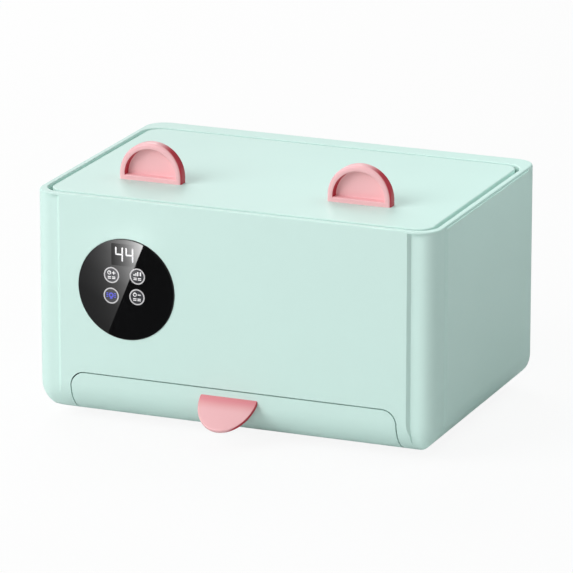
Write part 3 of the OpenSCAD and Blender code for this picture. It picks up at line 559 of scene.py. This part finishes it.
def soft_bar(lo, hi, edge):
    """Bar with rounded edges between two corners."""
    size = [b - a for a, b in zip(lo, hi)]
    middle = [(a + b) / 2 for a, b in zip(lo, hi)]
    bpy.ops.mesh.primitive_cube_add(size=1, location=middle, scale=size)
    bpy.ops.object.transform_apply(location=True, rotation=True, scale=True)
    bpy.ops.object.mode_set(mode="EDIT")
    bpy.ops.mesh.select_all(action="SELECT")
    bpy.ops.mesh.bevel(offset=edge, segments=BAR_EDGE_STEPS, affect="EDGES")
    bpy.ops.object.mode_set(mode="OBJECT")
    bar = bpy.context.object
    bpy.ops.object.select_all(action="DESELECT")
    return bar


def tongue_blade():
    """Half-oval plate that slopes down from the flap, its long edges rounded over."""
    bpy.ops.mesh.primitive_cylinder_add(vertices=BLADE_SIDES, radius=1, depth=TONGUE_T,
                                        location=(0, 0, 0), scale=(TONGUE_HALF_W, TONGUE_LEN, 1))
    blade = bpy.context.object
    bpy.ops.object.transform_apply(location=False, rotation=False, scale=True)
    for edge in blade.data.edges:
        a, b = (blade.data.vertices[i].co for i in edge.vertices)
        edge.select = abs(a.z - b.z) < TONGUE_T / 2
    bpy.ops.object.mode_set(mode="EDIT")
    bpy.ops.mesh.select_mode(type="EDGE")
    bpy.ops.mesh.bevel(offset=TONGUE_EDGE, segments=BLADE_EDGE_STEPS, affect="EDGES")
    bpy.ops.object.mode_set(mode="OBJECT")
    blade.rotation_euler = (TONGUE_SLOPE, 0, 0)
    blade.location = TONGUE_ROOT
    bpy.ops.object.transform_apply(location=True, rotation=True, scale=True)
    bpy.ops.object.mode_set(mode="EDIT")
    bpy.ops.mesh.select_all(action="SELECT")
    bpy.ops.mesh.bisect(plane_co=(0, TONGUE_ROOT.y + BLADE_INTO_FLAP, 0), plane_no=(0, 1, 0),
                        clear_outer=True, use_fill=True)
    bpy.ops.object.mode_set(mode="OBJECT")
    bpy.ops.object.select_all(action="DESELECT")
    return blade


def pull_tongue():
    """The blade, a stem through the flap's wall and a keeper behind it."""
    y, z = TONGUE_ROOT.y, TONGUE_ROOT.z
    keeper_y = y + FLAP_WALL + KEEPER_GAP
    blade = tongue_blade()
    stem = soft_bar((-STEM_HALF_W, y, z - TONGUE_T / 2),
                    (STEM_HALF_W, keeper_y + STEM_INTO_KEEPER, z + TONGUE_T / 2), STEM_EDGE)
    keeper = soft_bar((-KEEPER_HALF_W, keeper_y, z - KEEPER_HALF_H),
                      (KEEPER_HALF_W, keeper_y + KEEPER_T, z + KEEPER_HALF_H), KEEPER_EDGE)
    tongue = merge("pull_tongue", [blade, stem, keeper], tongue_finish)
    bpy.ops.object.shade_smooth_by_angle(angle=SMOOTH_ANGLE)
    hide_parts("flap_tongue")
    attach(tongue, "flap_door")
    bpy.ops.object.select_all(action="DESELECT")


pull_tongue()

# ---------- ear grips ----------

EAR_SIDES = 144
EAR_BASE = 3.2 * MM
EAR_EDGE = 1.7 * MM
EAR_EDGE_STEPS = 6
EAR_BORDER = 3.6 * MM
EAR_FOOT_BORDER = 2.7 * MM
RECESS_DEPTH = 4.4 * MM
RECESS_FILLET = 0.9 * MM
FILLET_STEPS = 6
RECESS_EDGE = 0.9 * MM
RECESS_EDGE_STEPS = 4
# below this height the recess's outline is squeezed up to leave the border at its foot
SQUEEZE_TOP = 3.0 * MM
RECESS_SLACK = 0.1 * MM


def ear_grip(node):
    """Half-round grip: rounded outer edges and a filleted recess to the front. It is modelled
    with the middle of its arc at the origin and its front at y = 0."""
    lo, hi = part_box(node)
    radius = (hi[0] - lo[0]) / 2
    depth = hi[1] - lo[1]
    recess_foot = -EAR_BASE + EAR_FOOT_BORDER
    bpy.ops.mesh.primitive_circle_add(vertices=EAR_SIDES, radius=radius, fill_type="NGON",
                                      location=(0, 0, 0), rotation=(math.pi / 2, 0, 0))
    ear = bpy.context.object
    bpy.ops.object.transform_apply(location=False, rotation=True, scale=False)
    bpy.ops.object.mode_set(mode="EDIT")
    bpy.ops.mesh.select_all(action="SELECT")
    bpy.ops.mesh.bisect(plane_co=(0, 0, 0), plane_no=(0, 0, 1), clear_inner=True)
    pick(ear, lambda edge, ends: all(abs(end.z) < TOUCH for end in ends))
    bpy.ops.mesh.extrude_edges_move(TRANSFORM_OT_translate={"value": (0, 0, -EAR_BASE)})
    bpy.ops.mesh.select_all(action="SELECT")
    bpy.ops.mesh.select_mode(type="FACE")
    bpy.ops.mesh.dissolve_faces()
    bpy.ops.mesh.select_all(action="SELECT")
    bpy.ops.mesh.extrude_region_move(TRANSFORM_OT_translate={"value": (0, depth, 0)})
    bpy.ops.mesh.select_all(action="SELECT")
    bpy.ops.mesh.normals_make_consistent(inside=False)
    # outer edges, all but those on the lid
    pick(ear, lambda edge, ends: abs(ends[0].y - ends[1].y) < TOUCH
         and max(end.z for end in ends) > -EAR_BASE + TOUCH)
    bpy.ops.mesh.bevel(offset=EAR_EDGE, segments=EAR_EDGE_STEPS, affect="EDGES")
    # recess, from the large face at the front
    pick(ear, lambda face, ring: face.normal.y < -0.99 and face.area > 0.2 * radius ** 2, "FACE")
    bpy.ops.mesh.inset(thickness=EAR_BORDER - EAR_EDGE)
    bpy.ops.object.mode_set(mode="OBJECT")
    foot_was = -EAR_BASE + EAR_BORDER - EAR_EDGE
    squeeze = (SQUEEZE_TOP - recess_foot) / (SQUEEZE_TOP - foot_was)
    outline = [face for face in ear.data.polygons if face.select][0]
    for corner in outline.vertices:
        point = ear.data.vertices[corner].co
        if point.z < SQUEEZE_TOP:
            point.z = SQUEEZE_TOP - (SQUEEZE_TOP - point.z) * squeeze
    bpy.ops.object.mode_set(mode="EDIT")
    wall = RECESS_DEPTH - RECESS_FILLET
    bpy.ops.mesh.extrude_region_move(TRANSFORM_OT_translate={"value": (0, wall, 0)})
    for step in range(FILLET_STEPS):
        a, b = (math.pi / 2 * (step + i) / FILLET_STEPS for i in (0, 1))
        bpy.ops.mesh.inset(thickness=RECESS_FILLET * (math.cos(a) - math.cos(b)),
                           depth=-RECESS_FILLET * (math.sin(b) - math.sin(a)))
    # the recess's front edge
    reach = radius - EAR_BORDER + RECESS_SLACK

    def on_recess_rim(edge, ends):
        return (all(abs(end.y) < TOUCH and math.hypot(end.x, max(end.z, 0)) < reach for end in ends)
                and min(end.z for end in ends) > recess_foot - RECESS_SLACK)

    pick(ear, on_recess_rim)
    bpy.ops.mesh.bevel(offset=RECESS_EDGE, segments=RECESS_EDGE_STEPS, affect="EDGES")
    bpy.ops.object.mode_set(mode="OBJECT")
    ear.location = ((lo[0] + hi[0]) / 2, lo[1], hi[2] - radius)
    bpy.ops.object.transform_apply(location=True, rotation=True, scale=True)
    ear.name = "soft_" + node
    ear.data.materials.append(finishes["pink_plastic"].mat)
    bpy.ops.object.shade_smooth_by_angle(angle=SMOOTH_ANGLE)
    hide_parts(node)
    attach(ear, "lid")
    bpy.ops.object.select_all(action="DESELECT")


ear_grip("left_ear")
ear_grip("right_ear")

# ---------- touch panel: window, digits, keys ----------

# Places and sizes on the panel are millimetres from the glass's middle. Lifts are how far a
# print's face stands in front of the glass.
PRINT_LIFT = 0.03 * MM
PRINT_T = 0.06 * MM
WINDOW_LIFT = 0.015 * MM
KEY_FACE_LIFT = 0.02 * MM
UNDERPRINT_T = 0.03 * MM
CORNER_STEPS = 5
RING_SIDES = 72
GLYPH_SIDES = 24


def on_glass(x, z):
    """A point of the panel."""
    return (GLASS_X + x * MM, GLASS_FRONT, GLASS_Z + z * MM)


def plate(name, x, z, w, h, corner, lift=PRINT_LIFT, thick=PRINT_T):
    """Thin printed or lit patch with rounded corners that lies on the glass."""
    bpy.ops.mesh.primitive_cube_add(size=1, location=(0, 0, 0), scale=(w * MM, thick, h * MM))
    piece = bpy.context.object
    piece.name = name
    bpy.ops.object.transform_apply(location=False, rotation=False, scale=True)
    pick(piece, lambda edge, ends: abs(ends[0].y - ends[1].y) > thick / 2)
    bpy.ops.mesh.bevel(offset=corner * MM, segments=CORNER_STEPS, affect="EDGES")
    bpy.ops.object.mode_set(mode="OBJECT")
    px, py, pz = on_glass(x, z)
    piece.location = (px, py - lift + thick / 2, pz)
    return apply_place(piece)


def hoop(name, x, z, radius, stroke, sides=RING_SIDES):
    """Thin printed ring that lies on the glass."""
    bpy.ops.mesh.primitive_circle_add(vertices=sides, radius=radius * MM, fill_type="NOTHING",
                                      location=(0, 0, 0), rotation=(0, 0, 0))
    piece = bpy.context.object
    piece.name = name
    bpy.ops.object.mode_set(mode="EDIT")
    bpy.ops.mesh.select_all(action="SELECT")
    inner = (radius - stroke) / radius
    bpy.ops.mesh.extrude_edges_move()
    bpy.ops.transform.resize(value=(inner, inner, inner))
    bpy.ops.mesh.select_all(action="SELECT")
    bpy.ops.mesh.extrude_region_move(TRANSFORM_OT_translate={"value": (0, 0, PRINT_T)})
    bpy.ops.mesh.select_all(action="SELECT")
    bpy.ops.mesh.normals_make_consistent(inside=False)
    bpy.ops.object.mode_set(mode="OBJECT")
    px, py, pz = on_glass(x, z)
    piece.rotation_euler = (math.pi / 2, 0, 0)
    piece.location = (px, py - PRINT_LIFT + PRINT_T, pz)
    return apply_place(piece)


def join(name, pieces, finish):
    """Prints that make up one mark on the panel."""
    whole = merge(name, pieces, finish)
    for face in whole.data.polygons:
        face.use_smooth = False
    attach(whole, "case")
    bpy.ops.object.select_all(action="DESELECT")


WINDOW_X, WINDOW_Z, WINDOW_W, WINDOW_H = -1.2, 19.8, 15.0, 12.6
WINDOW_CORNER = 0.4
WINDOW_CLEAR = (0.16, 0.52)

lit_white = Finish("lit_white", DISPLAY_WHITE, 0.4,
                   Emission_Color=WHITE, Emission_Strength=0.2).tint(400, 0.02)
lit_blue = Finish("lit_blue", KEY_BLUE, 0.4,
                  Emission_Color=KEY_BLUE_GLOW, Emission_Strength=0.42).tint(400, 0.03)
# the grey ring print also glows a little, which is painted light on a print
ring_print_glow = Finish("ring_print_glow", RING_GREY, 0.4,
                    Emission_Color=RING_GREY, Emission_Strength=0.12).tint(300, 0.02)
key_face = Finish("key_face", KEY_GREY, 0.25).tint(300, 0.06)
window_dark = (Finish("window_dark", WINDOW_BLACK, 0.08, IOR=1.52).tint(200, 0.05)
               .clear_towards(on_glass(WINDOW_X - WINDOW_W / 2, WINDOW_Z), (1, 0, 0),
                              WINDOW_W * MM, *WINDOW_CLEAR))

join("display_window", [plate("window", WINDOW_X, WINDOW_Z, WINDOW_W, WINDOW_H, WINDOW_CORNER,
                              lift=WINDOW_LIFT, thick=UNDERPRINT_T)], window_dark)

DIGIT_W = 4.7
DIGIT_H = 8.0
STROKE = 0.86
STROKE_CORNER = 0.45
DIGITS_AT = (-4.0, 2.25)
DIGIT_Z = 20.1


def digit_four(x):
    """The four strokes of a 4 with its middle at x."""
    half = DIGIT_H / 2
    side = DIGIT_W / 2 - STROKE / 2
    return [
        plate("stroke", x - side, DIGIT_Z + half / 2 - 0.05, STROKE, half + 0.2, STROKE_CORNER),
        plate("stroke", x, DIGIT_Z - 0.1, DIGIT_W - 0.2, STROKE, STROKE_CORNER),
        plate("stroke", x + side, DIGIT_Z + half / 2, STROKE, half + 0.1, STROKE_CORNER),
        plate("stroke", x + side, DIGIT_Z - half / 2, STROKE, half + 0.1, STROKE_CORNER),
    ]


join("display_digits", [bar for x in DIGITS_AT for bar in digit_four(x)], lit_white)

KEYS = {"timer": (-8.7, 7.6), "level": (6.9, 8.4), "lamp": (-9.0, -4.3), "power": (6.6, -3.5)}
KEY_R = 4.6
KEY_RING = 0.7
KEY_FACE_W = 2 * KEY_R - 0.6
KEY_FACE_CORNER = KEY_R - 0.35


def glyph(name, x, z):
    """Generic pictograms, as small as the panel's own. All but the lamp have a lower row of
    four short bars."""
    def bar(dx, dz, w, h, corner):
        return plate("g", x + dx, z + dz, w, h, corner)

    def ring(dx, dz, radius, stroke):
        return hoop("g", x + dx, z + dz, radius, stroke, sides=GLYPH_SIDES)

    if name == "timer":
        marks = [ring(-1.35, 1.35, 1.15, 0.4), bar(-1.35, 1.7, 0.35, 0.7, 0.1),
                 bar(1.35, 1.35, 2.0, 0.5, 0.2), bar(1.35, 1.35, 0.5, 2.0, 0.2)]
    elif name == "level":
        marks = [bar(-1.9 + 1.1 * i, 0.75 + 0.35 * i, 0.7, 1.0 + 0.7 * i, 0.15) for i in range(3)]
        marks += [bar(1.9, 1.5, 0.8, 2.2, 0.3)]
    elif name == "lamp":
        marks = [ring(0, 0.3, 1.5, 0.8), bar(0, -1.5, 1.7, 0.6, 0.25)]
        marks += [bar(2.35 * side, rise, 1.2, 0.55, 0.25)
                  for side in (-1, 1) for rise in (-0.7, 0.3, 1.3)]
    else:
        marks = [ring(-1.3, 1.35, 1.15, 0.4), bar(-1.3, 2.2, 0.4, 1.2, 0.15),
                 bar(1.35, 1.35, 2.0, 0.5, 0.2)]
    if name != "lamp":
        marks += [bar(dx, dz, 2.0, 0.5, 0.2) for dx in (-1.3, 1.3) for dz in (-1.0, -1.9)]
    return marks


for key_name, (kx, kz) in KEYS.items():
    face = plate(key_name, kx, kz, KEY_FACE_W, KEY_FACE_W, KEY_FACE_CORNER,
                 lift=KEY_FACE_LIFT, thick=UNDERPRINT_T)
    join("key_face_" + key_name, [face], key_face)
    ring = hoop(key_name, kx, kz, KEY_R, KEY_RING)
    join("key_ring_" + key_name, [ring], ring_print_glow)
    join("key_glyph_" + key_name, glyph(key_name, kx, kz),
         lit_blue if key_name == "lamp" else lit_white)

scene.view_settings.view_transform = "Standard"
